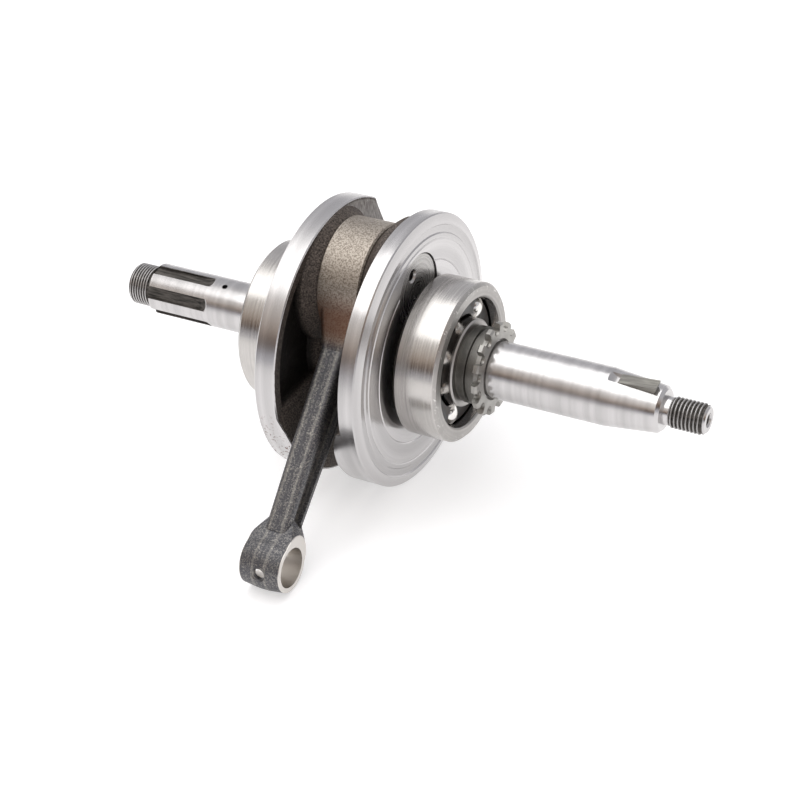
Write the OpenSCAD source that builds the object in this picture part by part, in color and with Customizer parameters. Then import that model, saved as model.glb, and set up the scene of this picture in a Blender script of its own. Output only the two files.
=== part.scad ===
// Pressed-up crankshaft of a small single-cylinder four-stroke engine, with its connecting rod,
// caged roller big end, two main ball bearings, timing sprocket and flywheel key.
// +X runs along the crank axis from the splined clutch end to the tapered flywheel end, +Z is up
// and the crank pin stands straight above the axis. The origin is the centre of the main bearing
// on the timing side. Modules draw their shape about the rod's mid-plane, and place() moves it.

/* [Crank] */
// Crank radius, half of the stroke
throw_r = 23.2; // [22.6:0.1:23.8]
// Diameter of both webs
web_d = 89.8; // [88:0.2:92]
// Distance from the rod's mid-plane to a web's outer face
web_face = 18.6; // [18.4:0.1:19]
// Distance from the rod's mid-plane to the outer corner of a web's rim
rim_out = 17.1; // [16.6:0.1:17.4]
// Distance from the rod's mid-plane to the inner corner of the clutch-side rim
rim_in_left = 10.3; // [9.8:0.1:11]
// Distance from the rod's mid-plane to the inner corner of the timing-side rim
rim_in_right = 12; // [11.6:0.1:13]
// Distance from the rod's mid-plane to the forged floor of a web's hollow
hollow_floor = 13.8; // [13.4:0.1:14.4]
// Distance from the rod's mid-plane to the face of a pin boss
boss_face = 7.55; // [7.5:0.05:7.8]
// Diameter of the crank pin
pin_d = 25; // [24:0.5:26]

/* [Clutch end] */
// Diameter of the splined shaft
clutch_d = 17; // [16:0.5:18]
// Distance from the rod's mid-plane to the threaded end
clutch_end = 91.2; // [90:0.2:94]
// Length of the thread at the clutch end
clutch_thread_len = 8; // [7:0.5:8.5]
// Nominal diameter of that thread
clutch_thread_d = 14; // [13:0.5:14.5]
// Pitch of that thread
clutch_pitch = 1; // [1:0.25:1.25]
// Number of splines
splines = 6; // [4:1:8]
// Width of a spline groove
groove_w = 4.3; // [3.5:0.1:4.6]
// Depth of a spline groove
groove_depth = 1.45; // [1:0.05:1.7]
// Where the spline grooves run out, from the rod's mid-plane
groove_stop = 58.3; // [56:0.5:62]

/* [Flywheel end] */
// Diameter of the plain shaft
flywheel_d = 18.5; // [18:0.1:19]
// Where the taper starts, from the rod's mid-plane
taper_start = 83; // [80:0.5:84]
// Where the taper ends
taper_end = 101.4; // [100:0.2:102]
// Loss of radius per millimetre along the taper
taper_slope = 0.1; // [0.08:0.01:0.12]
// Distance from the rod's mid-plane to the threaded end
flywheel_end = 115.3; // [114:0.1:118]
// Nominal diameter of the thread at the flywheel end
flywheel_thread_d = 10; // [9:0.5:11]
// Pitch of that thread
flywheel_pitch = 1.25; // [1:0.25:1.5]

/* [Key] */
// Diameter of the disc that the key is cut from
key_disc_d = 13; // [12:0.5:14]
// Height of the key
key_h = 5; // [4.5:0.1:5.5]
// Thickness of the key
key_w = 4; // [3:0.5:4]
// Centre of the key, from the rod's mid-plane
key_at = 93.1; // [92:0.1:94]
// How far the key has rocked in its seat, in degrees
key_rock = 5; // [0:1:6]

/* [Main bearings] */
// Outer diameter of a main bearing
main_d = 52; // [47:1:52]
// Bore of a main bearing
main_bore = 20; // [20:1:22]
// Width of a main bearing
main_w = 15; // [14:0.5:15]
// Distance from the rod's mid-plane to the middle of a main bearing
main_at = 28.1; // [28:0.1:29]
// Balls in a main bearing
balls = 7; // [6:1:7]
// Diameter of a ball
ball_d = 9.52; // [9:0.02:9.52]

/* [Connecting rod] */
// Distance between the centres of the rod's two eyes
rod_len = 94.2; // [92:0.2:98]
// Outer diameter of the big end
big_d = 38.8; // [38:0.2:39.4]
// Width of the big end
big_w = 14.7; // [14:0.1:14.8]
// Bore of the small end, for the gudgeon pin
small_bore = 13; // [12:0.5:13]
// Width of the small end
small_w = 14; // [13:0.5:14.5]
// Outer diameter of the small end at its middle
small_d = 17.4; // [17:0.2:19]
// Direction of the rod from the pin, in degrees from +Y towards +Z
rod_angle = 219.3; // [210:0.1:225]

/* [Big-end bearing] */
// Rollers in the big end
rollers = 14; // [12:1:14]
// Diameter of a roller
roller_d = 2.92; // [2.9:0.01:2.96]
// Length of a roller
roller_len = 11; // [9:0.5:11.5]

/* [Timing sprocket] */
// Teeth of the timing sprocket
teeth = 14; // [13:1:15]
// Radius at the tooth tips
tip_r = 15.2; // [15:0.1:15.6]
// Distance from the rod's mid-plane to the sprocket's front face
sprocket_face = 44.6; // [44.4:0.1:46]

/* [Hidden] */
$fn = 96;
eps = 0.5;
ball_names_left = [for (i = [1:balls]) str("left_bearing_ball_", i)];
ball_names_right = [for (i = [1:balls]) str("right_bearing_ball_", i)];
roller_names = [for (i = [1:rollers]) str("big_end_roller_", i)];

steel = "lightsteelblue";
forged = "dimgray";
web_r = web_d / 2;
pin_r = pin_d / 2;
seat_r = main_bore / 2;
shoulder_r = 14;
seat_end = main_at + main_w / 2 + 0.6;
// Ball race: the balls run on this radius in grooves a little wider than they are
ball_ring_r = (main_d + main_bore) / 4;
race_r = ball_d / 2 + 0.2;
inner_land_r = 14.3;
outer_land_r = 21.3;
ball_turn = 38.7;
// Roller race of the big end, with a running clearance of 0.04 on both sides of a roller
roller_ring_r = pin_r + roller_d / 2 + 0.04;
big_race_r = pin_r + roller_d + 0.08;
// Spline grooves: turned to where they lie, with a cutter's run-out at the closed end
groove_turn = 37;
run_out = 7.6;
groove_floor = clutch_d / 2 - groove_depth;
cutter_r = (run_out * run_out + groove_depth * groove_depth) / (2 * groove_depth);
// Key seat: a disc cut into the taper at this turn, and how proud the key stands at its middle
key_turn = 97;
key_proud = 1.17;
key_top = flywheel_d / 2 - taper_slope * (key_at - taper_start) + key_proud;
key_axis_h = key_top - key_h + key_disc_d / 2;

module place() {
    translate([-main_at, 0, 0])
        children();
}

// A turned shape about the crank axis from points of [radius, distance along X]
module turned(points) {
    rotate([0, 90, 0])
        rotate_extrude()
            polygon(points);
}

// A straight cylinder along X between two stations
module rod_x(r, x0, x1) {
    translate([x0, 0, 0])
        rotate([0, 90, 0])
            cylinder(r = r, h = x1 - x0);
}

// A ridged outline for a thread of the given outer radius between two stations
function ridges(r, pitch, x0, x1) = [
    for (i = [0:floor((x1 - x0) / pitch) - 1], p = [[0, 0.12], [0.62, 0.44], [0.62, 0.56], [0, 0.88]])
        [r - 0.62 * pitch + p[0] * pitch, x0 + (i + p[1]) * pitch]
];

// One web on the +X side: rim, long outer bevel with turned rings, hollow inner face and hub
module web_disc(rim_in) {
    turned([
        [0, boss_face + 2.2],
        [16, boss_face + 2.2],
        [19, hollow_floor],
        [37.6, hollow_floor],
        [40.4, rim_in + 0.6],
        [web_r - 0.4, rim_in],
        [web_r, rim_in + 0.3],
        [web_r, rim_out],
        [web_r - 0.4, rim_out + 0.4],
        [41.4, web_face - 0.15],
        [41, web_face - 0.5],
        [38.8, web_face - 0.5],
        [38.4, web_face - 0.1],
        [37.3, web_face],
        [36.9, web_face - 0.2],
        [36.5, web_face],
        [30.3, web_face],
        [30, web_face - 0.25],
        [29.7, web_face],
        [0, web_face]
    ]);
}

// Forged boss round the pin, wider towards the web and trimmed by the rim
module pin_boss() {
    intersection() {
        translate([0, 0, throw_r])
            turned([[0, boss_face], [18.7, boss_face], [22.4, 11], [22.4, 14], [0, 14]]);
        rod_x(web_r - 0.6, 5, 15);
    }
}

// Counterweight below the axis, with its ramp up from the hollow
module counterweight() {
    intersection() {
        rod_x(web_r, 6, 15);
        translate([0, 50, 0])
            rotate([90, 0, 0])
                linear_extrude(height = 100)
                    polygon([[14.2, -3], [10.6, -4], [8.6, -9.8], [7.2, -20], [7, -46], [14.2, -46]]);
    }
}

// Land beside the boss, at the back of the clutch-side web
module back_land() {
    intersection() {
        rod_x(web_r - 0.5, rim_in_left + 0.25, hollow_floor + 0.5);
        rotate([90, 0, 90])
            linear_extrude(height = hollow_floor + 1)
                polygon([[4, 44], [10, 30], [24, 14], [46, 8], [46, 46], [4, 46]]);
    }
}

module web(rim_in) {
    web_disc(rim_in);
    pin_boss();
    counterweight();
}

// Side outline of one spline groove: a flat floor and the arc that the cutter leaves
module groove_cutter() {
    linear_extrude(height = groove_w, center = true) {
        translate([groove_stop + run_out, groove_floor])
            square([clutch_end - groove_stop, 4]);
        intersection() {
            translate([groove_stop + run_out, groove_floor + cutter_r])
                circle(r = cutter_r);
            translate([groove_stop - 1, groove_floor - 1])
                square([run_out + 1.01, 5]);
        }
    }
}

// Clutch-side half, drawn on the +X side and mirrored by its caller
module clutch_side_half() {
    thread_start = clutch_end - clutch_thread_len;
    thread_r = clutch_thread_d / 2;
    root_r = thread_r - 0.62 * clutch_pitch;
    difference() {
        union() {
            web(rim_in_left);
            back_land();
            turned(concat(
                [[0, web_face - 1], [shoulder_r, web_face - 1], [shoulder_r, main_at - main_w / 2]],
                [[seat_r, main_at - main_w / 2], [seat_r, seat_end - 0.5], [seat_r - 0.5, seat_end]],
                [[clutch_d / 2, seat_end], [clutch_d / 2, thread_start - 1.9]],
                [[clutch_d / 2 - 0.9, thread_start - 1], [root_r, thread_start - 1]],
                ridges(thread_r, clutch_pitch, thread_start, clutch_end - 1),
                [[root_r + 0.2, clutch_end - 0.9], [root_r - 0.9, clutch_end], [0, clutch_end]]));
        }
        // Hole for the crank pin
        translate([0, 0, throw_r])
            rod_x(pin_r, 0, 30);
        // Spline grooves, from the thread to where the cutter lifts out
        for (i = [0:splines - 1])
            rotate([groove_turn + i * 360 / splines, 0, 0])
                difference() {
                    groove_cutter();
                    rod_x(clutch_d, thread_start - 1, clutch_end + 1);
                }
        // Oil feed along the shaft, its outlet to the clutch bush and the drilling to the pin
        rod_x(2.5, 24, clutch_end + eps);
        rotate([102 - 90, 0, 0])
            translate([54, 0, 0])
                cylinder(r = 0.95, h = 12);
        translate([25.4, 0, 0])
            rotate([0, -atan2(12, throw_r - pin_r + 2), 0])
                cylinder(r = 1.5, h = 16);
        // Trimmed flat at the back of the rim
        rotate([20.7, 0, 0])
            translate([5, 38.1, -30])
                cube([20, 10, 60]);
    }
}

module left_crank_half() {
    color(steel)
        place()
            mirror([1, 0, 0])
                clutch_side_half();
}

// Timing-side half with its bearing seat, plain shaft, taper, key seat and thread
module right_crank_half() {
    neck = taper_end + 2.5;
    shaft_r = flywheel_d / 2;
    small_r = shaft_r - taper_slope * (taper_end - 1 - taper_start);
    thread_r = flywheel_thread_d / 2;
    root_r = thread_r - 0.62 * flywheel_pitch;
    color(steel)
        place()
            difference() {
                union() {
                    web(rim_in_right);
                    turned(concat(
                        [[0, web_face - 1], [shoulder_r, web_face - 1]],
                        [[shoulder_r, main_at - main_w / 2], [seat_r, main_at - main_w / 2]],
                        [[seat_r, sprocket_face - 1.1], [shaft_r, sprocket_face - 0.6]],
                        [[shaft_r, taper_start], [small_r, taper_end - 1], [small_r - 1, taper_end]],
                        [[root_r + 0.3, taper_end], [root_r + 0.3, neck - 0.3], [root_r, neck]],
                        ridges(thread_r, flywheel_pitch, neck, flywheel_end - 1.3),
                        [[root_r, flywheel_end - 1.2], [root_r + 0.4, flywheel_end - 0.8]],
                        [[root_r - 0.3, flywheel_end], [0, flywheel_end]]));
                }
                translate([0, 0, throw_r])
                    rod_x(pin_r, 0, 30);
                key_seat();
                // Centre drilling with its 60 degree mouth
                turned([
                    [0, flywheel_end - 9],
                    [1.6, flywheel_end - 8],
                    [1.6, flywheel_end - 1.3],
                    [2.35, flywheel_end],
                    [2.35, flywheel_end + 1],
                    [0, flywheel_end + 1]
                ]);
            }
}

// Disc-shaped seat of the key, and the shallow run-out that the milling left before it
module key_seat() {
    rotate([key_turn - 90, 0, 0]) {
        translate([key_at, key_w / 2, key_axis_h])
            rotate([90, 0, 0])
                cylinder(d = key_disc_d, h = key_w);
        translate([88, key_w / 2, 14.5])
            rotate([90, 0, 0])
                cylinder(r = 7, h = key_w);
    }
}

// Key cut from a disc, rocked a little in its seat with its front end up
module flywheel_key() {
    color("gray")
        place()
            rotate([key_turn - 90, 0, 0])
                translate([key_at, key_w / 2, key_axis_h])
                    rotate([0, -key_rock, 0])
                        rotate([90, 0, 0])
                            intersection() {
                                cylinder(d = key_disc_d, h = key_w);
                                translate([-key_disc_d / 2, -key_disc_d / 2, -1])
                                    cube([key_disc_d, key_h, key_w + 2]);
                            }
}

// Crank pin with bevelled ends, a feed hole from the clutch side and an outlet to the rollers
module crank_pin() {
    half = web_face - 0.45;
    drilling = [-2.2, 7];
    color("silver")
        place()
            translate([0, 0, throw_r])
                difference() {
                    turned([
                        [0, -half],
                        [pin_r - 0.5, -half],
                        [pin_r, 0.5 - half],
                        [pin_r, half - 0.5],
                        [pin_r - 0.5, half],
                        [0, half]
                    ]);
                    // Drilling with a bevelled mouth, open on the timing side
                    translate([0, drilling[0], drilling[1]]) {
                        rod_x(1.7, -2, half + 1);
                        turned([[0, half - 0.6], [1.7, half - 0.6], [2.3, half], [2.3, half + 1], [0, half + 1]]);
                    }
                    // Outlet to the rollers
                    translate([0, drilling[0], drilling[1]])
                        cylinder(r = 1.25, h = 12);
                    // Inlet that meets the drilling in the clutch-side web
                    translate([-half + 3, 0, 0])
                        rotate([180, 0, 0])
                            cylinder(r = 1.5, h = 20);
                    rod_x(1.5, -half + 2, -1);
                    translate([-1, 0, 0])
                        rotate([atan2(-drilling[0], drilling[1]), 0, 0])
                            cylinder(r = 1.5, h = 7);
                }
}

// Timing sprocket: a grooved hub against the bearing and one row of teeth in front
module timing_sprocket() {
    back = main_at + main_w / 2;
    ring_back = sprocket_face - 2.3;
    valley_at = tip_r - 1.6;
    color("gray")
        place()
            difference() {
                union() {
                    turned([
                        [0, back],
                        [11.6, back],
                        [11.6, back + 0.9],
                        [12.5, back + 1.1],
                        [12.5, back + 3.2],
                        [11.7, back + 3.4],
                        [11.7, back + 4.1],
                        [12.6, back + 4.3],
                        [12.6, sprocket_face - 1],
                        [0, sprocket_face - 1]
                    ]);
                    intersection() {
                        turned([
                            [0, ring_back],
                            [tip_r - 0.6, ring_back],
                            [tip_r, ring_back + 0.5],
                            [tip_r, sprocket_face - 0.5],
                            [tip_r - 0.6, sprocket_face],
                            [0, sprocket_face]
                        ]);
                        translate([ring_back - 1, 0, 0])
                            rotate([90, 0, 90])
                                linear_extrude(height = 5)
                                    difference() {
                                        circle(r = tip_r + 1);
                                        for (i = [0:teeth - 1])
                                            rotate(95.5 + (i + 0.5) * 360 / teeth) {
                                                translate([valley_at, 0])
                                                    circle(r = 1.7);
                                                polygon([
                                                    [valley_at, -1.7],
                                                    [tip_r + 2, -2.9],
                                                    [tip_r + 2, 2.9],
                                                    [valley_at, 1.7]
                                                ]);
                                            }
                                    }
                    }
                }
                rod_x(seat_r, back - 1, sprocket_face + 1);
            }
}

// Inner ring of a main bearing about its own middle
module inner_ring() {
    half = main_w / 2;
    color("silver")
        difference() {
            turned([
                [seat_r, -half + 1],
                [seat_r + 1, -half],
                [inner_land_r - 0.5, -half],
                [inner_land_r, -half + 0.5],
                [inner_land_r, half - 0.5],
                [inner_land_r - 0.5, half],
                [seat_r + 1, half],
                [seat_r, half - 1]
            ]);
            ball_groove();
        }
}

// Outer ring of a main bearing about its own middle
module outer_ring() {
    half = main_w / 2;
    color("silver")
        difference() {
            turned([
                [main_d / 2, -half + 1.1],
                [main_d / 2 - 1.1, -half],
                [outer_land_r + 0.5, -half],
                [outer_land_r, -half + 0.5],
                [outer_land_r, half - 0.5],
                [outer_land_r + 0.5, half],
                [main_d / 2 - 1.1, half],
                [main_d / 2, half - 1.1]
            ]);
            ball_groove();
        }
}

module ball_groove() {
    rotate([0, 90, 0])
        rotate_extrude()
            translate([ball_ring_r, 0])
                circle(r = race_r);
}

// Moulded cage that snaps over the balls from one side, closed towards the crank webs
module ball_cage() {
    color("#202022")
        difference() {
            turned([
                [15.2, -5.2],
                [20.6, -5.2],
                [20.6, 3.6],
                [15.2, 3.6]
            ]);
            for (i = [0:balls - 1])
                rotate([ball_turn + i * 360 / balls, 0, 0])
                    translate([0, ball_ring_r, 0])
                        sphere(r = race_r);
        }
}

module ball(i) {
    color("white")
        rotate([ball_turn + i * 360 / balls, 0, 0])
            translate([0, ball_ring_r, 0])
                sphere(d = ball_d);
}

// Steel cage of the big end: a sleeve with one window for each roller
module big_end_cage() {
    color("tan")
        place()
            translate([0, 0, throw_r])
                difference() {
                    turned([
                        [pin_r + 0.35, -7],
                        [big_race_r - 0.35, -7],
                        [big_race_r - 0.35, 7],
                        [pin_r + 0.35, 7]
                    ]);
                    for (i = [0:rollers - 1])
                        rotate([i * 360 / rollers, 0, 0])
                            translate([-roller_len / 2 - 0.15, pin_r - 1, -roller_d / 2 - 0.1])
                                cube([roller_len + 0.3, 6, roller_d + 0.2]);
                }
}

module roller(i) {
    color("white")
        place()
            translate([0, 0, throw_r])
                rotate([i * 360 / rollers, 0, 0])
                    translate([0, roller_ring_r, 0])
                        rod_x(roller_d / 2, -roller_len / 2, roller_len / 2);
}

// Cross-section slab of the shank: t thick along X and w wide, with rounded corners
module shank_slab(at, t, w) {
    corner = 1.8;
    translate([0, at, 0])
        rotate([-90, 0, 0])
            linear_extrude(height = 0.1)
                offset(r = corner)
                    square([t - 2 * corner, w - 2 * corner], center = true);
}

// Connecting rod along +Y from the pin, with the small end's face pockets and oil hole
module rod_shape() {
    big_r = big_d / 2;
    small_r = small_d / 2;
    difference() {
        union() {
            turned([
                [0, -big_w / 2],
                [big_r - 0.5, -big_w / 2],
                [big_r, -big_w / 2 + 0.5],
                [big_r, big_w / 2 - 0.5],
                [big_r - 0.5, big_w / 2],
                [0, big_w / 2]
            ]);
            hull() {
                shank_slab(13, 13.6, 27, $fn = 24);
                shank_slab(20.5, 10.5, 19, $fn = 24);
                shank_slab(26, 8.4, 15, $fn = 24);
            }
            hull() {
                shank_slab(26, 8.4, 15, $fn = 24);
                shank_slab(85, 7.8, 10.6, $fn = 24);
            }
            translate([0, rod_len, 0])
                turned([
                    [0, -small_w / 2],
                    [small_r - 0.6, -small_w / 2],
                    [small_r, -1.5],
                    [small_r, 1.5],
                    [small_r - 0.6, small_w / 2],
                    [0, small_w / 2]
                ]);
            hull() {
                translate([0, 82, 0])
                    rod_x(3.4, -3.8, 3.8, $fn = 24);
                translate([0, rod_len - 3, 0])
                    rod_x(small_r - 1.6, -small_w / 2, small_w / 2, $fn = 32);
            }
        }
        // Roller race and gudgeon pin bore
        rod_x(big_race_r, -10, 10);
        translate([0, rod_len, 0])
            rod_x(small_bore / 2, -10, 10);
        // Pockets that leave the shank an I section
        for (side = [-1, 1])
            translate([side * 3.7, 0, 0])
                rotate([0, 90, 0])
                    linear_extrude(height = 4, center = true)
                        shank_pocket();
        // Oil hole in the small end
        translate([0, rod_len, 0])
            rotate([170 - rod_angle - 90, 0, 0]) {
                cylinder(r = 1.9, h = 12);
                translate([0, 0, small_r - 0.75])
                    cylinder(r1 = 1.9, r2 = 2.7, h = 0.8);
            }
    }
}

// Outline of a shank pocket, narrower towards the small end, with round ends
module shank_pocket() {
    polygon([[-4.6, 28], [4.6, 28], [2.7, 79], [-2.7, 79]]);
    translate([0, 28])
        circle(r = 4.6);
    translate([0, 79])
        circle(r = 2.7);
}

module connecting_rod() {
    color(forged)
        place()
            translate([0, 0, throw_r])
                rotate([rod_angle, 0, 0])
                    rod_shape();
}

left_crank_half();
right_crank_half();
crank_pin();
timing_sprocket();
flywheel_key();
connecting_rod();
big_end_cage();
translate([-2 * main_at, 0, 0]) inner_ring();  // left_bearing_inner_ring
translate([-2 * main_at, 0, 0]) outer_ring();  // left_bearing_outer_ring
translate([-2 * main_at, 0, 0]) mirror([1, 0, 0]) ball_cage();  // left_bearing_cage
inner_ring();  // right_bearing_inner_ring
outer_ring();  // right_bearing_outer_ring
ball_cage();  // right_bearing_cage
for (i = [0:balls - 1]) {
    translate([-2 * main_at, 0, 0]) ball(i);
    ball(i);
}
for (i = [0:rollers - 1])
    roller(i);
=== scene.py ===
# Looks for a small engine's crankshaft: a finish for every CAD piece and a pale studio stage.
# Lengths are metres, and the places and pattern sizes inside finishes are millimetres. The scale
# of a noise is written as one over the size of its pattern.
import math

import bmesh
import bpy
from mathutils import Matrix, Vector


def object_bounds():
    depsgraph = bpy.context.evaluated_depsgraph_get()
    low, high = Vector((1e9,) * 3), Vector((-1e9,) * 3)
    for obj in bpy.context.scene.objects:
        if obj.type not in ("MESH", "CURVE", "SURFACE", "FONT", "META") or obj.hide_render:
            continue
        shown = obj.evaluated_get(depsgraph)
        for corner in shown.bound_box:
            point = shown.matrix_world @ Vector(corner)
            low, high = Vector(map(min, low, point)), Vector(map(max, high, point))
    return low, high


bl_info = {
    "name": "Crankshaft looks",
    "version": (1, 0, 0),
    "blender": (4, 5, 0),
    "location": "View3D > Sidebar > Crankshaft",
    "description": "Finishes and studio stage for a pressed-up crankshaft",
    "category": "Object",
}

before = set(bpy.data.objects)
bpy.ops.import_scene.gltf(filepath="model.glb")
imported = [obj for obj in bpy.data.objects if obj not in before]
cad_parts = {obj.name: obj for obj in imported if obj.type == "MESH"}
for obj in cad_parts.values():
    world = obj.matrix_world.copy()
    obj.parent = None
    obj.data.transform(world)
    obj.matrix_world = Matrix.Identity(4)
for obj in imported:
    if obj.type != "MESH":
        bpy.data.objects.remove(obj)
cad_low, cad_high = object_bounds()

MM = 0.001
MAIN_SPACING = 56.2
ROD_PLANE = -MAIN_SPACING / 2
THROW = 23.2
ROD_ANGLE = math.radians(219.3)
ROD_LENGTH = 94.2
WEB_RADIUS = 44.9
THREAD_END = {"left": 91.2, "right": 115.3}
SIDES = ("left", "right")

# Bands, in millimetres, from where an effect is absent to where it is full. On the crank halves
# and the sprocket they lie out from the rod's plane, or are places and radii about the crank axis.
HOLLOW = (15.4, 14.8)
INSIDE_RIM = (WEB_RADIUS - 0.35, WEB_RADIUS - 0.55)
# Painted shade in the hollow, from where it starts to where it is full
HOLLOW_SHADE_DEPTH = (11.0, 13.2)
LAND_START, LAND_STOP = (10.3, 10.45), (10.95, 10.7)
LAND_BACK, LAND_TOP = (2, 5), (10, 14)
SPLINES, CLUTCH_THREAD = (58.0, 58.6), (82.4, 83.0)
SPLINE_FLOOR, CLUTCH_ROOT = (8.42, 8.28), (6.98, 6.6)
FLYWHEEL_THREAD, FLYWHEEL_ROOT = (103.5, 103.9), (4.98, 4.5)
END_CLEAR = (0.5, 0.8)
RUST_LEVEL = (0, -18)
RIM_SKIN = (WEB_RADIUS - 0.8, WEB_RADIUS - 0.4)
HUB_RADIUS, HUB_LENGTH = (13.2, 12.8), (42.4, 42.0)
# On a bearing ring they lie out from its own middle plane, or are radii.
RING_FACE, RING_CORNER = (6.2, 7.0), (22.4, 24.8)
# On the rod they run along it from the big end's centre, across it from its middle plane, or out
# from the centre of either eye.
SEAM = (0.45, 0.2)
ARRIS_START, ARRIS_STOP = (1.5, 2.0), (2.9, 2.3)
GROUND_EYE = (27.0, 24.0)
TINT_START, TINT_STOP = (8, 17), (27, 20)
SMALL_FACE, SMALL_EYE, SMALL_BORE = (6.75, 6.9), (16, 12), (6.9, 6.7)

# The stage, in metres and watts: where the camera and the lamps point, the lamps, and the floor
AIM = Vector((-0.01647, -0.0062, -0.01706))
OVERHEAD = {"place": (-0.2, 0.05, 0.95), "size": (1.4, 0.7), "power": 5.5}
FRONT = {"place": (0.5, -0.9, 0.75), "size": (1.4, 1.4), "power": 1.6}
FLOOR_HALF = 2.5
FLOOR_GAP = 0.02 * MM

# Shares of a noise, from which its lows and highs are spread out
SOFT = (0.3, 0.7)
EASED = {"interpolation_type": "SMOOTHSTEP"}


def linear(code):
    """An sRGB hex colour such as "#C8C6C2" as linear red, green, blue and alpha."""
    shares = [int(code[i : i + 2], 16) / 255 for i in (1, 3, 5)]
    return tuple(s / 12.92 if s <= 0.04045 else ((s + 0.055) / 1.055) ** 2.4 for s in shares) + (1.0,)


# Painted shade: the near-black colour deep in the crank halves' hollows
HOLLOW_SHADE_BLACK = linear("#0B0908")
# Colours of the scratched land, painted lighter as light at the top and back of the hollow
DRESSED_AND_LIT = (linear("#85807E"), linear("#CBC8C6"))


def add(tree, kind, *inputs, **settings):
    """Adds one node. Inputs fill its sockets in order: a node or socket is joined, a value is set
    and None is passed over. Lower-case settings are the node's own, and the rest name sockets."""
    node = tree.nodes.new("ShaderNode" + kind)
    filled = []
    for name, value in settings.items():
        if name[0].islower():
            setattr(node, name, value)
        else:
            filled.append((node.inputs[name.replace("_", " ")], value))
    filled += zip([s for s in node.inputs if s.enabled], inputs)
    for socket, value in filled:
        join(tree, socket, value)
    return node


def join(tree, socket, value):
    """Joins a node or socket to a socket, or sets the socket's own value."""
    if isinstance(value, bpy.types.Node):
        value = next(s for s in value.outputs if s.enabled)
    if isinstance(value, bpy.types.NodeSocket):
        tree.links.new(value, socket)
    elif value is not None:
        socket.default_value = value


def start_finish(name, **surface):
    """A new material, its node tree and its shader, with constants on the shader's own sockets."""
    material = bpy.data.materials.new(name)
    material.use_nodes = True
    tree = material.node_tree
    shader = tree.nodes["Principled BSDF"]
    shader.inputs["Metallic"].default_value = 1.0
    for socket, value in surface.items():
        shader.inputs[socket.replace("_", " ")].default_value = value
    return material, tree, shader


def millimetres(tree, centre=(0, 0, 0)):
    """The point on the piece, in millimetres from a centre that is given in millimetres."""
    place = add(tree, "TexCoord").outputs["Object"]
    return add(
        tree, "VectorMath", place, (1 / MM,) * 3, tuple(-c for c in centre), operation="MULTIPLY_ADD")


def along_and_radius(tree, point):
    """Distance along the crank axis and radius about it, both from a point in millimetres."""
    along = add(tree, "SeparateXYZ", point).outputs["X"]
    flat = add(tree, "VectorMath", point, (0, 1, 1), operation="MULTIPLY")
    radius = add(tree, "VectorMath", flat, operation="LENGTH").outputs["Value"]
    return along, radius


def shaded(tree, colour, shade):
    """A colour made darker or lighter by a shade near one."""
    grey = add(tree, "CombineColor", shade, shade, shade)
    return add(tree, "Mix", 1.0, colour, grey, data_type="RGBA", blend_type="MULTIPLY")


def assign(names, material):
    """Gives CAD nodes one material in place of their own."""
    for name in names:
        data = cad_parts[name].data
        data.materials.clear()
        data.materials.append(material)


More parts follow.
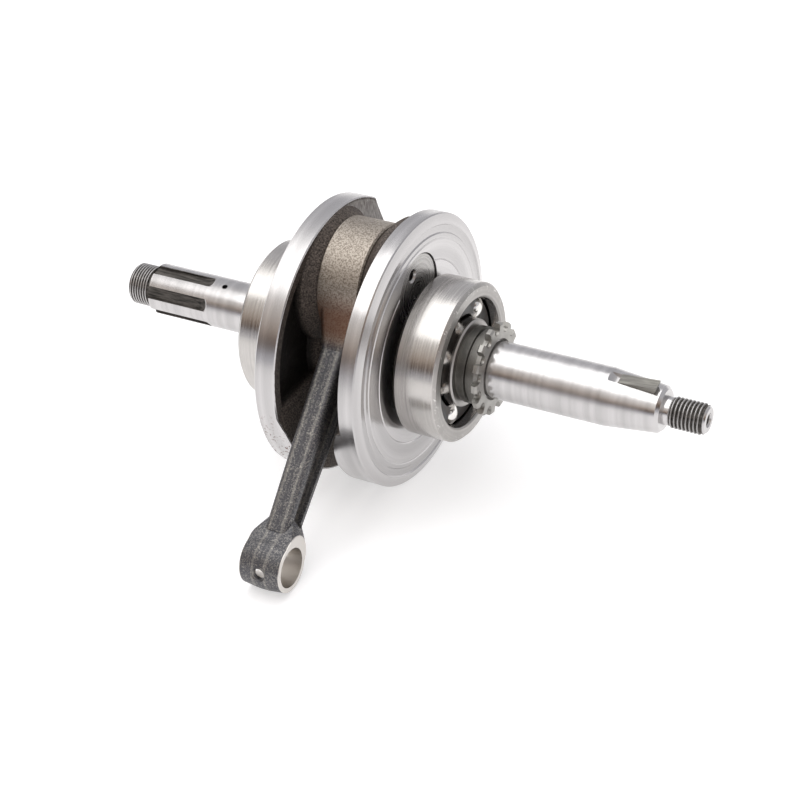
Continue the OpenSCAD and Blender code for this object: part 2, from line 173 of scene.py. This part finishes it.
# Alloy steel, turned and ground on the outside and left as forged in the hollows. Turning gives
# the eye a bright surface with rings and a highlight that fans out across them, the scale in the
# hollows is dark, dull and grainy, and the milled and threaded parts hold dark residue.
def turned_alloy_steel(side, steel, forged, residue, rust, feed):
    material, tree, shader = start_finish("turned_alloy_steel_" + side, Anisotropic=0.55)
    point = millimetres(tree, (ROD_PLANE, 0, 0))
    along, radius = along_and_radius(tree, point)
    out = add(tree, "Math", along, operation="ABSOLUTE")
    profile = add(tree, "Math", out, radius, operation="ADD")
    # Feed marks are finer than this on the real surface, and are drawn coarse enough to show
    marks = add(tree, "TexNoise", profile, 1 / feed, 2.0, 0.6, noise_dimensions="1D")
    rings = add(tree, "TexNoise", profile, 1 / 3.5, 1.0, 0.5, noise_dimensions="1D")
    patches = add(tree, "TexNoise", point, 1 / 22, 1.0, 0.5)
    # The grain of the scale is drawn coarse for the same reason
    grain = add(tree, "TexNoise", point, 1 / 0.5, 3.0, 0.6)
    lumps = add(tree, "TexNoise", point, 1 / 3.2, 3.0, 0.6)
    shade = add(
        tree, "Math", add(tree, "MapRange", rings, *SOFT, 0.9, 1.04, **EASED),
        add(tree, "MapRange", marks, 0.2, 0.8, 0.97, 1.02, **EASED), operation="MULTIPLY")
    bright = shaded(tree, steel, shade)
    # The scale starts at the inner corner of the rim, along a broken line
    inner = add(tree, "MapRange", out, *HOLLOW, **EASED)
    broken = add(tree, "Math", grain, 0.6, -0.3, operation="MULTIPLY_ADD")
    corner = add(tree, "Math", radius, broken, operation="ADD")
    scale = add(
        tree, "Math", inner, add(tree, "MapRange", corner, *INSIDE_RIM, **EASED), operation="MULTIPLY")
    dark = add(
        tree, "Mix", add(tree, "MapRange", grain, 0.3, 0.85, **EASED), forged[0], forged[1],
        data_type="RGBA")
    # Painted shade: the colour turns nearly black deep in the hollow, where shade falls
    hollow_shade = add(
        tree, "Math", add(tree, "MapRange", out, *HOLLOW_SHADE_DEPTH, **EASED), 0.9, operation="MULTIPLY")
    dark = add(tree, "Mix", hollow_shade, dark, HOLLOW_SHADE_BLACK, data_type="RGBA")
    if side == "left":
        # The land beside the boss was dressed by hand, which left scratches across it. Its lighter
        # colour at the top and back is painted light.
        spot = add(tree, "SeparateXYZ", point)
        level = add(
            tree, "Math", add(tree, "MapRange", out, *LAND_START, **EASED),
            add(tree, "MapRange", out, *LAND_STOP, **EASED), operation="MULTIPLY")
        behind = add(
            tree, "Math", add(tree, "MapRange", spot.outputs["Y"], *LAND_BACK, **EASED),
            add(tree, "MapRange", spot.outputs["Z"], *LAND_TOP, **EASED), operation="MULTIPLY")
        across = add(tree, "VectorMath", point, (1, 1.4, 0.25), operation="MULTIPLY")
        scratches = add(tree, "TexNoise", across, 1 / 0.7, 3.0, 0.6)
        dressed_and_lit = add(
            tree, "Mix", add(tree, "MapRange", scratches, 0.35, 0.7, **EASED), DRESSED_AND_LIT[0], DRESSED_AND_LIT[1],
            data_type="RGBA")
        dark = add(
            tree, "Mix", add(tree, "Math", level, behind, operation="MULTIPLY"), dark, dressed_and_lit,
            data_type="RGBA")
    skin = add(tree, "Mix", scale, bright, dark, data_type="RGBA")
    # Residue lies in the milled grooves of one shaft and in the threads of both
    if side == "left":
        # Grooves lie below the lands; in the thread only the roots are soiled
        lathe = add(tree, "MapRange", out, *SPLINES, **EASED)
        threaded = add(tree, "MapRange", out, *CLUTCH_THREAD, **EASED)
        top, bottom = (add(tree, "Mix", threaded, *pair) for pair in zip(SPLINE_FLOOR, CLUTCH_ROOT))
        worked = add(tree, "MapRange", radius, top, bottom, **EASED)
    else:
        lathe = add(tree, "MapRange", out, *FLYWHEEL_THREAD, **EASED)
        worked = add(tree, "MapRange", radius, *FLYWHEEL_ROOT, 0.25, 1.0, **EASED)
    # The faced ends of both shafts stay clean
    end = THREAD_END[side]
    lathe = add(
        tree, "Math", lathe, add(tree, "MapRange", out, end - END_CLEAR[0], end - END_CLEAR[1], **EASED),
        operation="MULTIPLY")
    held = add(tree, "Math", lathe, worked, operation="MULTIPLY")
    lengthwise = add(tree, "VectorMath", point, (0.1, 1, 1), operation="MULTIPLY")
    streaks = add(tree, "TexNoise", lengthwise, 1 / 0.8, 3.0, 0.6)
    grime = add(
        tree, "Mix", add(tree, "MapRange", streaks, *SOFT, **EASED), residue[0], residue[1],
        data_type="RGBA")
    soiled = add(tree, "Mix", held, skin, grime, data_type="RGBA")
    dull = add(tree, "Math", scale, held, operation="MAXIMUM")
    rough = add(
        tree, "Math", add(tree, "Math", grain, lumps, operation="ADD"), dull, operation="MULTIPLY")
    if side == "left":
        # Rust has pitted the clutch-side rim near the ground
        low = add(tree, "SeparateXYZ", point).outputs["Z"]
        near_ground = add(tree, "MapRange", low, *RUST_LEVEL, **EASED)
        spots = add(tree, "MapRange", add(tree, "TexNoise", point, 1 / 1.1, 2.0, 0.6), 0.6, 0.65, **EASED)
        rim = add(tree, "MapRange", radius, *RIM_SKIN, **EASED)
        pitted = add(tree, "Math", spots, near_ground, operation="MULTIPLY")
        rusted = add(tree, "Math", pitted, rim, operation="MULTIPLY")
        soiled = add(tree, "Mix", rusted, soiled, rust, data_type="RGBA")
        dull = add(tree, "Math", dull, rusted, operation="MAXIMUM")
    join(tree, shader.inputs["Base Color"], soiled)
    join(tree, shader.inputs["Metallic"], add(tree, "MapRange", dull, 0, 1, 1.0, 0.45, **EASED))
    smooth = add(tree, "MapRange", patches, 0.35, 0.65, 0.19, 0.27, **EASED)
    join(tree, shader.inputs["Roughness"], add(tree, "Mix", dull, smooth, 0.62))
    join(tree, shader.inputs["Tangent"], add(tree, "Tangent", direction_type="RADIAL", axis="X"))
    fine = add(tree, "Bump", 0.04, 0.02 * MM, None, marks)
    join(tree, shader.inputs["Normal"], add(tree, "Bump", 0.9, 0.25 * MM, None, rough, fine))
    return material


# Through-hardened bearing steel, ground. Grinding gives a fine satin with rings about the axis,
# a duller side face and a few bright nicks at the corner.
def ground_bearing_steel(name, centre, steel, nick):
    material, tree, shader = start_finish(name, Anisotropic=0.5)
    point = millimetres(tree, (centre, 0, 0))
    along, radius = along_and_radius(tree, point)
    # Grinding marks are finer than this on the real rings, and are drawn coarse enough to show
    wheel = add(
        tree, "TexNoise", add(tree, "Math", along, radius, operation="ADD"), 1 / 0.7, 3.0, 0.6,
        noise_dimensions="1D")
    cloud = add(tree, "TexNoise", point, 1 / 9, 3.0, 0.6)
    shade = add(
        tree, "MapRange", add(tree, "Math", wheel, cloud, operation="ADD"), 0.7, 1.3, 0.88, 1.04,
        **EASED)
    side = add(tree, "MapRange", add(tree, "Math", along, operation="ABSOLUTE"), *RING_FACE, **EASED)
    shade = add(
        tree, "Math", shade, add(tree, "MapRange", side, 0, 1, 1.0, 0.8, **EASED), operation="MULTIPLY")
    tone = shaded(tree, steel, shade)
    chips = add(tree, "MapRange", add(tree, "TexNoise", point, 1 / 1.1, 3.0, 0.7), 0.6, 0.66, **EASED)
    edge = add(tree, "MapRange", radius, *RING_CORNER, **EASED)
    scuffed = add(
        tree, "Math", add(tree, "Math", chips, edge, operation="MULTIPLY"), side, operation="MULTIPLY")
    join(tree, shader.inputs["Base Color"], add(tree, "Mix", scuffed, tone, nick, data_type="RGBA"))
    join(
        tree, shader.inputs["Roughness"],
        add(tree, "Mix", side, add(tree, "MapRange", wheel, *SOFT, 0.18, 0.25, **EASED), 0.42))
    join(tree, shader.inputs["Tangent"], add(tree, "Tangent", direction_type="RADIAL", axis="X"))
    join(
        tree, shader.inputs["Normal"],
        add(tree, "Bump", 0.15, 0.02 * MM, None, add(tree, "Math", wheel, scuffed, operation="ADD")))
    return material


# Chrome bearing steel, lapped to a polish. It mirrors its neighbours, and dried oil leaves specks.
def lapped_chrome_steel(steel, speck):
    material, tree, shader = start_finish("lapped_chrome_steel")
    point = millimetres(tree)
    specks = add(tree, "MapRange", add(tree, "TexNoise", point, 1 / 0.8, 3.0, 0.7), 0.62, 0.72, **EASED)
    film = add(tree, "TexNoise", point, 1 / 3, 2.0, 0.5)
    join(tree, shader.inputs["Base Color"], add(tree, "Mix", specks, steel, speck, data_type="RGBA"))
    join(tree, shader.inputs["Roughness"], add(tree, "MapRange", film, *SOFT, 0.08, 0.2, **EASED))
    return material


# Sintered steel, pressed from powder and oil-dipped. Its pores give an even, matt grey grain.
def sintered_steel(steel, groove):
    material, tree, shader = start_finish("sintered_steel")
    point = millimetres(tree, (ROD_PLANE, 0, 0))
    along, radius = along_and_radius(tree, point)
    # The real pores are finer, and are drawn coarse enough to show
    pores = add(tree, "TexNoise", point, 1 / 0.35, 3.0, 0.7)
    cloud = add(tree, "TexNoise", point, 1 / 4, 2.0, 0.6)
    hub = add(
        tree, "Math", add(tree, "MapRange", radius, *HUB_RADIUS, **EASED),
        add(tree, "MapRange", along, *HUB_LENGTH, **EASED), operation="MULTIPLY")
    tone = add(tree, "Mix", hub, steel, groove, data_type="RGBA")
    shade = add(
        tree, "MapRange", add(tree, "Math", pores, cloud, operation="ADD"), 0.7, 1.3, 0.8, 1.08, **EASED)
    join(tree, shader.inputs["Base Color"], shaded(tree, tone, shade))
    join(tree, shader.inputs["Roughness"], add(tree, "MapRange", pores, *SOFT, 0.34, 0.5, **EASED))
    join(tree, shader.inputs["Normal"], add(tree, "Bump", 0.5, 0.06 * MM, None, pores))
    return material


# Bright-drawn key steel, sawn and deburred. It has lengthwise draw lines and a satin face.
def drawn_key_steel(steel, shadow):
    material, tree, shader = start_finish("drawn_key_steel", Anisotropic=0.3)
    point = millimetres(tree)
    drawn = add(tree, "VectorMath", point, (0.06, 1.6, 1.6), operation="MULTIPLY")
    lines = add(tree, "TexNoise", drawn, 1.0, 4.0, 0.6)
    join(
        tree, shader.inputs["Base Color"],
        add(
            tree, "Mix", add(tree, "MapRange", lines, 0.35, 0.7, **EASED), shadow, steel,
            data_type="RGBA"))
    join(tree, shader.inputs["Roughness"], add(tree, "MapRange", lines, *SOFT, 0.28, 0.42, **EASED))
    join(tree, shader.inputs["Normal"], add(tree, "Bump", 0.3, 0.03 * MM, None, lines))
    return material


# Case-hardened forged steel, shot blasted. The shank is graphite grey with light grains where the
# shot hit, the trimmed seam shows as a dark line between two bright ones, the eyes are ground to
# a warm satin, and hardening has left a straw and brown tint where the shank leaves the big end.
def blasted_forged_steel(graphite, grit, satin, heat, bore):
    material, tree, shader = start_finish("blasted_forged_steel")
    point = millimetres(tree, (ROD_PLANE, 0, THROW))
    turned = add(tree, "VectorRotate", point, rotation_type="X_AXIS", Angle=-ROD_ANGLE)
    parts = add(tree, "SeparateXYZ", turned)
    across = add(tree, "Math", parts.outputs["X"], operation="ABSOLUTE")
    reach = parts.outputs["Y"]
    # The marks of the shot are finer on the real rod, and are drawn coarse enough to show
    grains = add(tree, "TexNoise", point, 1 / 0.5, 3.0, 0.7)
    lumps = add(tree, "TexNoise", point, 1 / 2.2, 3.0, 0.6)
    cloud = add(tree, "TexNoise", point, 1 / 9, 2.0, 0.5)
    speckle = add(
        tree, "Math", add(tree, "MapRange", grains, 0.46, 0.62, **EASED),
        add(tree, "MapRange", lumps, 0.3, 0.6, 0.45, 1.0, **EASED), operation="MULTIPLY")
    # Lines on the edge of the shank
    uneven = add(tree, "Math", lumps, 1.2, -0.6, operation="MULTIPLY_ADD")
    wander = add(tree, "Math", across, uneven, operation="ADD")
    seam = add(tree, "Math", add(tree, "MapRange", wander, *SEAM, **EASED), 0.8, operation="MULTIPLY")
    arris = add(
        tree, "Math", add(tree, "MapRange", wander, *ARRIS_START, **EASED),
        add(tree, "MapRange", wander, *ARRIS_STOP, **EASED), operation="MULTIPLY")
    struck = add(
        tree, "Math", speckle, add(tree, "MapRange", arris, 0, 1, 0.45, 0.85, **EASED),
        operation="MULTIPLY")
    hits = add(
        tree, "Math", struck, add(tree, "Math", arris, 0.3, operation="MULTIPLY"), operation="MAXIMUM")
    skin = add(tree, "Mix", hits, graphite, grit, data_type="RGBA")
    seamed = add(tree, "Mix", seam, skin, graphite, data_type="RGBA")
    # Big end: ground satin with the tint at its foot
    eye = add(tree, "VectorMath", turned, (0, 1, 1), operation="MULTIPLY")
    ring = add(tree, "VectorMath", eye, operation="LENGTH").outputs["Value"]
    drift = add(tree, "Math", cloud, 3.0, -1.5, operation="MULTIPLY_ADD")
    edge = add(tree, "Math", ring, drift, operation="ADD")
    ground = add(tree, "MapRange", edge, *GROUND_EYE, **EASED)
    warm = add(
        tree, "Mix", add(tree, "MapRange", grains, 0.38, 0.6, **EASED), satin[0], satin[1],
        data_type="RGBA")
    eyed = add(tree, "Mix", ground, seamed, warm, data_type="RGBA")
    tinted = add(
        tree, "Math", add(tree, "MapRange", reach, *TINT_START, **EASED),
        add(tree, "MapRange", reach, *TINT_STOP, **EASED), operation="MULTIPLY")
    straw = add(
        tree, "Mix", add(tree, "Math", tinted, 0.7, operation="MULTIPLY"), eyed, heat, data_type="RGBA")
    # Small end: faces and bore are machined
    moved = add(tree, "VectorMath", turned, (0, -ROD_LENGTH, 0), operation="ADD")
    small = add(tree, "VectorMath", moved, (0, 1, 1), operation="MULTIPLY")
    small_ring = add(tree, "VectorMath", small, operation="LENGTH").outputs["Value"]
    small_face = add(
        tree, "Math", add(tree, "MapRange", across, *SMALL_FACE, **EASED),
        add(tree, "MapRange", small_ring, *SMALL_EYE, **EASED), operation="MULTIPLY")
    machined = add(
        tree, "Math", small_face, add(tree, "MapRange", small_ring, *SMALL_BORE, **EASED),
        operation="MAXIMUM")
    join(tree, shader.inputs["Base Color"], add(tree, "Mix", machined, straw, bore, data_type="RGBA"))
    worked = add(tree, "Math", machined, ground, operation="MAXIMUM")
    join(tree, shader.inputs["Metallic"], add(tree, "MapRange", worked, 0, 1, 0.8, 1.0, **EASED))
    join(
        tree, shader.inputs["Roughness"],
        add(
            tree, "Mix", worked, add(tree, "MapRange", grains, *SOFT, 0.6, 0.42, **EASED),
            add(tree, "Mix", machined, 0.5, 0.32)))
    relief = add(
        tree, "Math", add(tree, "Math", grains, lumps, operation="ADD"),
        add(tree, "MapRange", worked, 0, 1, 0.8, 0.1, **EASED), operation="MULTIPLY")
    join(tree, shader.inputs["Normal"], add(tree, "Bump", 0.8, 0.16 * MM, None, relief))
    return material


# Glass-filled nylon, moulded. It is near black with a low sheen and a dusty brown film of oil.
def moulded_nylon(black, film):
    material, tree, shader = start_finish("moulded_nylon", Metallic=0.0)
    point = millimetres(tree)
    # The mould's texture is finer than this, and is drawn coarse enough to show
    spark = add(tree, "TexNoise", point, 1 / 0.4, 2.0, 0.6)
    cloud = add(tree, "TexNoise", point, 1 / 3, 2.0, 0.6)
    join(
        tree, shader.inputs["Base Color"],
        add(tree, "Mix", add(tree, "MapRange", cloud, 0.4, 0.75, **EASED), black, film, data_type="RGBA"))
    join(tree, shader.inputs["Roughness"], add(tree, "MapRange", cloud, *SOFT, 0.3, 0.5, **EASED))
    join(tree, shader.inputs["Normal"], add(tree, "Bump", 0.3, 0.03 * MM, None, spark))
    return material


# Carbon steel strip, stamped and copper flashed. Handling leaves it brownish with worn edges.
def stamped_cage_steel(copper, worn):
    material, tree, shader = start_finish("stamped_cage_steel")
    point = millimetres(tree)
    wear = add(tree, "TexNoise", point, 1 / 1.5, 3.0, 0.6)
    join(
        tree, shader.inputs["Base Color"],
        add(tree, "Mix", add(tree, "MapRange", wear, 0.4, 0.65, **EASED), copper, worn, data_type="RGBA"))
    join(tree, shader.inputs["Roughness"], add(tree, "MapRange", wear, *SOFT, 0.3, 0.45, **EASED))
    join(tree, shader.inputs["Normal"], add(tree, "Bump", 0.3, 0.02 * MM, None, wear))
    return material


# Ground pin steel: the pin's ends are faced with fine rings, its length is ground.
def ground_pin_steel(steel, ring):
    material, tree, shader = start_finish("ground_pin_steel", Anisotropic=0.4)
    point = millimetres(tree, (ROD_PLANE, 0, THROW))
    along, radius = along_and_radius(tree, point)
    # The facing marks are finer than this, and are drawn coarse enough to show
    faced = add(
        tree, "TexNoise", add(tree, "Math", along, radius, operation="ADD"), 1 / 0.8, 2.0, 0.6,
        noise_dimensions="1D")
    join(
        tree, shader.inputs["Base Color"],
        add(tree, "Mix", add(tree, "MapRange", faced, *SOFT, **EASED), ring, steel, data_type="RGBA"))
    join(tree, shader.inputs["Roughness"], add(tree, "MapRange", faced, *SOFT, 0.24, 0.34, **EASED))
    join(tree, shader.inputs["Normal"], add(tree, "Bump", 0.3, 0.02 * MM, None, faced))
    return material


class CrankSettings(bpy.types.PropertyGroup):
    steel: bpy.props.FloatVectorProperty(
        name="Turned steel", description="Colour of the turned and ground surfaces",
        subtype="COLOR", size=4, default=linear("#C3C1C1"))
    forged_dark: bpy.props.FloatVectorProperty(
        name="Forging scale, dark", description="Darker colour of the scale in the hollows",
        subtype="COLOR", size=4, default=linear("#2A2522"))
    forged_light: bpy.props.FloatVectorProperty(
        name="Forging scale, light", description="Lighter grains of the scale in the hollows",
        subtype="COLOR", size=4, default=linear("#8A7F77"))
    residue_dark: bpy.props.FloatVectorProperty(
        name="Residue, dark", description="Dark residue in grooves and thread roots",
        subtype="COLOR", size=4, default=linear("#2A2826"))
    residue_light: bpy.props.FloatVectorProperty(
        name="Residue, light", description="Lighter residue in grooves and thread roots",
        subtype="COLOR", size=4, default=linear("#6A6662"))
    rust: bpy.props.FloatVectorProperty(
        name="Rust", description="Colour of the pits on the clutch-side rim",
        subtype="COLOR", size=4, default=linear("#6A4A3C"))
    feed: bpy.props.FloatProperty(
        name="Feed marks", description="Spacing of the turning marks in millimetres",
        default=0.6, min=0.1, max=2.0)


class BearingSettings(bpy.types.PropertyGroup):
    steel: bpy.props.FloatVectorProperty(
        name="Ring steel", description="Colour of the ground rings",
        subtype="COLOR", size=4, default=linear("#C2BFBC"))
    nick: bpy.props.FloatVectorProperty(
        name="Nick", description="Colour of the bright nicks at the ring's corner",
        subtype="COLOR", size=4, default=linear("#EDEBE8"))
    ball: bpy.props.FloatVectorProperty(
        name="Ball steel", description="Colour of the balls and rollers",
        subtype="COLOR", size=4, default=linear("#E6E4E1"))
    speck: bpy.props.FloatVectorProperty(
        name="Speck", description="Colour of the dried oil on the balls",
        subtype="COLOR", size=4, default=linear("#7A7068"))
    nylon: bpy.props.FloatVectorProperty(
        name="Nylon", description="Colour of the moulded cage",
        subtype="COLOR", size=4, default=linear("#0E0C0C"))
    film: bpy.props.FloatVectorProperty(
        name="Oil film", description="Colour of the film on the cage",
        subtype="COLOR", size=4, default=linear("#33261F"))


class RodSettings(bpy.types.PropertyGroup):
    graphite: bpy.props.FloatVectorProperty(
        name="Graphite", description="Colour of the blasted skin",
        subtype="COLOR", size=4, default=linear("#56565A"))
    grit: bpy.props.FloatVectorProperty(
        name="Grit", description="Colour of the grains where the shot hit",
        subtype="COLOR", size=4, default=linear("#B4B0A8"))
    satin_dark: bpy.props.FloatVectorProperty(
        name="Satin, dark", description="Darker colour of the ground big end",
        subtype="COLOR", size=4, default=linear("#7E756C"))
    satin_light: bpy.props.FloatVectorProperty(
        name="Satin, light", description="Lighter colour of the ground big end",
        subtype="COLOR", size=4, default=linear("#B4ACA2"))
    heat: bpy.props.FloatVectorProperty(
        name="Heat tint", description="Colour of the tint at the foot of the big end",
        subtype="COLOR", size=4, default=linear("#7A4F38"))
    bore: bpy.props.FloatVectorProperty(
        name="Machined", description="Colour of the machined faces and bore of the small end",
        subtype="COLOR", size=4, default=linear("#CFCBC6"))


class DriveSettings(bpy.types.PropertyGroup):
    sintered: bpy.props.FloatVectorProperty(
        name="Sintered steel", description="Colour of the sprocket's teeth",
        subtype="COLOR", size=4, default=linear("#A3A19D"))
    groove: bpy.props.FloatVectorProperty(
        name="Hub", description="Colour of the sprocket's hub",
        subtype="COLOR", size=4, default=linear("#7A7874"))
    key: bpy.props.FloatVectorProperty(
        name="Key steel", description="Colour of the key",
        subtype="COLOR", size=4, default=linear("#98968F"))
    key_shadow: bpy.props.FloatVectorProperty(
        name="Draw lines", description="Colour of the key's draw lines",
        subtype="COLOR", size=4, default=linear("#827F7A"))


class StageSettings(bpy.types.PropertyGroup):
    floor: bpy.props.FloatVectorProperty(
        name="Floor", description="Colour of the floor",
        subtype="COLOR", size=4, default=linear("#DCDCDC"))
    azimuth: bpy.props.FloatProperty(
        name="Azimuth", description="Direction of the camera round the crankshaft",
        subtype="ANGLE", default=math.radians(31.10))
    elevation: bpy.props.FloatProperty(
        name="Elevation", description="Height of the camera above the horizon",
        subtype="ANGLE", default=math.radians(36.80))
    roll: bpy.props.FloatProperty(
        name="Roll", description="Turn of the camera about its own line of sight",
        subtype="ANGLE", default=math.radians(-5.62))
    distance: bpy.props.FloatProperty(
        name="Distance", description="From the camera to the point it looks at",
        unit="LENGTH", default=0.70303)
    lens: bpy.props.FloatProperty(
        name="Lens", description="Focal length of the camera in millimetres",
        unit="CAMERA", default=97.8)


SETTINGS = {
    "crank_looks": CrankSettings,
    "bearing_looks": BearingSettings,
    "rod_looks": RodSettings,
    "drive_looks": DriveSettings,
    "stage_looks": StageSettings,
}


class CRANK_OT_halves(bpy.types.Operator):
    """Finishes both crank halves and the crank pin"""

    bl_idname = "crankshaft.halves"
    bl_label = "Crank halves and pin"

    def execute(self, context):
        look = context.scene.crank_looks
        for side in SIDES:
            material = turned_alloy_steel(
                side, look.steel, (look.forged_dark, look.forged_light),
                (look.residue_dark, look.residue_light), look.rust, look.feed)
            assign([side + "_crank_half"], material)
        assign(["crank_pin"], ground_pin_steel(linear("#B9B7B5"), linear("#9D9B99")))
        return {"FINISHED"}


class CRANK_OT_main_bearings(bpy.types.Operator):
    """Finishes the rings, balls and cages of both main bearings"""

    bl_idname = "crankshaft.main_bearings"
    bl_label = "Main bearings"

    def execute(self, context):
        look = context.scene.bearing_looks
        balls = lapped_chrome_steel(look.ball, look.speck)
        nylon = moulded_nylon(look.nylon, look.film)
        for side in SIDES:
            centre = -MAIN_SPACING if side == "left" else 0.0
            rings = ground_bearing_steel("ground_bearing_steel_" + side, centre, look.steel, look.nick)
            assign([side + "_bearing_outer_ring", side + "_bearing_inner_ring"], rings)
            assign([side + "_bearing_cage"], nylon)
            assign([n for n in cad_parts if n.startswith(side + "_bearing_ball_")], balls)
        return {"FINISHED"}


class CRANK_OT_rod(bpy.types.Operator):
    """Finishes the connecting rod and the roller bearing of its big end"""

    bl_idname = "crankshaft.rod"
    bl_label = "Connecting rod and big end"

    def execute(self, context):
        look = context.scene.rod_looks
        rod = blasted_forged_steel(
            look.graphite, look.grit, (look.satin_dark, look.satin_light), look.heat, look.bore)
        assign(["connecting_rod"], rod)
        assign(["big_end_cage"], stamped_cage_steel(linear("#8A5B42"), linear("#9A948E")))
        rollers = bpy.data.materials["lapped_chrome_steel"]
        assign([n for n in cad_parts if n.startswith("big_end_roller_")], rollers)
        return {"FINISHED"}


class CRANK_OT_sprocket(bpy.types.Operator):
    """Finishes the timing sprocket"""

    bl_idname = "crankshaft.sprocket"
    bl_label = "Timing sprocket"

    def execute(self, context):
        look = context.scene.drive_looks
        assign(["timing_sprocket"], sintered_steel(look.sintered, look.groove))
        return {"FINISHED"}


class CRANK_OT_key(bpy.types.Operator):
    """Finishes the flywheel key"""

    bl_idname = "crankshaft.key"
    bl_label = "Flywheel key"

    def execute(self, context):
        look = context.scene.drive_looks
        assign(["flywheel_key"], drawn_key_steel(look.key, look.key_shadow))
        return {"FINISHED"}


def studio_world(scene):
    """A white studio with a dim room at the horizon, which the polished steel mirrors."""
    world = bpy.data.worlds.new("studio")
    world.use_nodes = True
    scene.world = world
    tree = world.node_tree
    background = tree.nodes["Background"]
    way = add(tree, "SeparateXYZ", add(tree, "TexCoord").outputs["Generated"])
    sky = add(tree, "ValToRGB", way.outputs["Z"])
    stops = [
        (0.0, "#D6D6DD"), (0.13, "#D2D2D9"), (0.17, "#453429"), (0.29, "#6E5848"),
        (0.40, "#C4B2A4"), (0.62, "#E8E0D9"), (0.85, "#FAF8F6"), (1.0, "#FFFFFF")]
    points = sky.color_ramp.elements
    for i, (place, code) in enumerate(stops):
        stop = points[i] if i < 2 else points.new(place)
        stop.position = place
        stop.color = linear(code)
    # Only the side towards the camera has the dark band: the wall behind the table is pale and plain
    behind = add(tree, "MapRange", way.outputs["Y"], -0.1, 0.35, **EASED)
    low = add(tree, "MapRange", way.outputs["Z"], 0.95, 0.7, **EASED)
    wall = add(tree, "Math", behind, low, operation="MULTIPLY")
    room = add(tree, "Mix", wall, sky, linear("#D6D6DA"), data_type="RGBA")
    eye = add(tree, "LightPath").outputs["Is Camera Ray"]
    join(
        tree, background.inputs["Color"],
        add(tree, "Mix", eye, room, linear("#FFFFFF"), data_type="RGBA"))
    background.inputs["Strength"].default_value = 0.95


def softbox(scene, name, place, size, power):
    """A rectangular area light that points at the middle of the crankshaft."""
    data = bpy.data.lights.new(name, "AREA")
    data.shape = "RECTANGLE"
    data.size, data.size_y = size
    data.energy = power
    lamp = bpy.data.objects.new(name, data)
    lamp.location = place
    lamp.rotation_euler = (AIM - Vector(place)).to_track_quat("-Z", "Y").to_euler()
    scene.collection.objects.link(lamp)


class CRANK_OT_stage(bpy.types.Operator):
    """Sets the floor, the studio light and the camera"""

    bl_idname = "crankshaft.stage"
    bl_label = "Stage"

    def execute(self, context):
        scene = context.scene
        look = scene.stage_looks
        scene.view_settings.view_transform = "Standard"
        mesh = bmesh.new()
        bmesh.ops.create_grid(mesh, x_segments=8, y_segments=8, size=FLOOR_HALF)
        data = bpy.data.meshes.new("floor")
        mesh.to_mesh(data)
        mesh.free()
        floor = bpy.data.objects.new("floor", data)
        floor.location = (0, 0, cad_low.z - FLOOR_GAP)
        scene.collection.objects.link(floor)
        material, tree, shader = start_finish(
            "white_table", Metallic=0.0, Roughness=0.7, Emission_Strength=0.5)
        mottle = add(tree, "TexNoise", add(tree, "TexCoord").outputs["Object"], 3.0, 1.0, 0.5)
        join(
            tree, shader.inputs["Base Color"],
            add(
                tree, "Mix", add(tree, "MapRange", mottle, *SOFT, **EASED), look.floor,
                linear("#D8D8DA"), data_type="RGBA"))
        data.materials.append(material)
        studio_world(scene)
        softbox(scene, "overhead", **OVERHEAD)
        softbox(scene, "front", **FRONT)
        a, e = look.azimuth, look.elevation
        back = Vector((math.sin(a) * math.cos(e), -math.cos(a) * math.cos(e), math.sin(e)))
        level = Vector((math.cos(a), math.sin(a), 0))
        rise = back.cross(level)
        right = level * math.cos(look.roll) + rise * math.sin(look.roll)
        data = bpy.data.cameras.new("camera")
        data.lens = look.lens
        data.sensor_width = 36
        data.clip_start, data.clip_end = 0.01, 20
        camera = bpy.data.objects.new("camera", data)
        turn = Matrix((right, back.cross(right), back)).transposed().to_4x4()
        camera.matrix_world = Matrix.Translation(AIM + back * look.distance) @ turn
        scene.collection.objects.link(camera)
        scene.camera = camera
        return {"FINISHED"}


class CRANK_PT_looks(bpy.types.Panel):
    """Lists the pieces and their settings"""

    bl_idname = "CRANK_PT_looks"
    bl_label = "Crankshaft"
    bl_space_type = "VIEW_3D"
    bl_region_type = "UI"
    bl_category = "Crankshaft"

    def draw(self, context):
        for operator in OPERATORS:
            self.layout.operator(operator.bl_idname)
        for name, group in SETTINGS.items():
            box = self.layout.box()
            for field in group.__annotations__:
                box.prop(getattr(context.scene, name), field)


OPERATORS = (
    CRANK_OT_halves, CRANK_OT_main_bearings, CRANK_OT_rod, CRANK_OT_sprocket, CRANK_OT_key,
    CRANK_OT_stage)
CLASSES = (*SETTINGS.values(), *OPERATORS, CRANK_PT_looks)


def register():
    for made in CLASSES:
        bpy.utils.register_class(made)
    for name, group in SETTINGS.items():
        setattr(bpy.types.Scene, name, bpy.props.PointerProperty(type=group))


def unregister():
    for name in SETTINGS:
        delattr(bpy.types.Scene, name)
    for made in reversed(CLASSES):
        bpy.utils.unregister_class(made)


def main():
    register()
    bpy.ops.crankshaft.halves()
    bpy.ops.crankshaft.main_bearings()
    bpy.ops.crankshaft.rod()
    bpy.ops.crankshaft.sprocket()
    bpy.ops.crankshaft.key()
    bpy.ops.crankshaft.stage()


if __name__ == "__main__":
    main()
